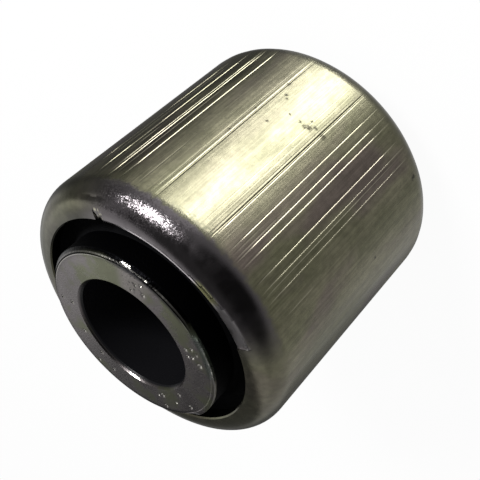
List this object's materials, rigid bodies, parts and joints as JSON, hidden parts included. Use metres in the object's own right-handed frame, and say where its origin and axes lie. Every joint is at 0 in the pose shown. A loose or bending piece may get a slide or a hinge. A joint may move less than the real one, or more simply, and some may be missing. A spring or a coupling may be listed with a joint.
{
  "type": "rubber metal bush",
  "caption": "Rubber metal suspension bush: thick steel inner sleeve bonded in black rubber inside a plated steel outer sleeve with rolled-in ends.",
  "frame": {"origin": "centre of the bush, on its axis, half-way between the inner sleeve's end faces", "axes": "+Z along the bush's axis; it stands on the inner sleeve's lower end face, nicked lip on top"},
  "size_m": [0.057, 0.057, 0.063],
  "materials": {
    "inner_plating": "cut steel tube, zinc plated and passivated, satin grey to olive",
    "rubber": "moulded natural rubber, matt black",
    "outer_plating": "zinc plated, yellow passivated, satin, with score marks along its length"
  },
  "bodies": {
    "root": {"inner_sleeve": "inner_plating", "rubber_body": "rubber", "outer_sleeve": "outer_plating"}
  },
  "joints": []
}
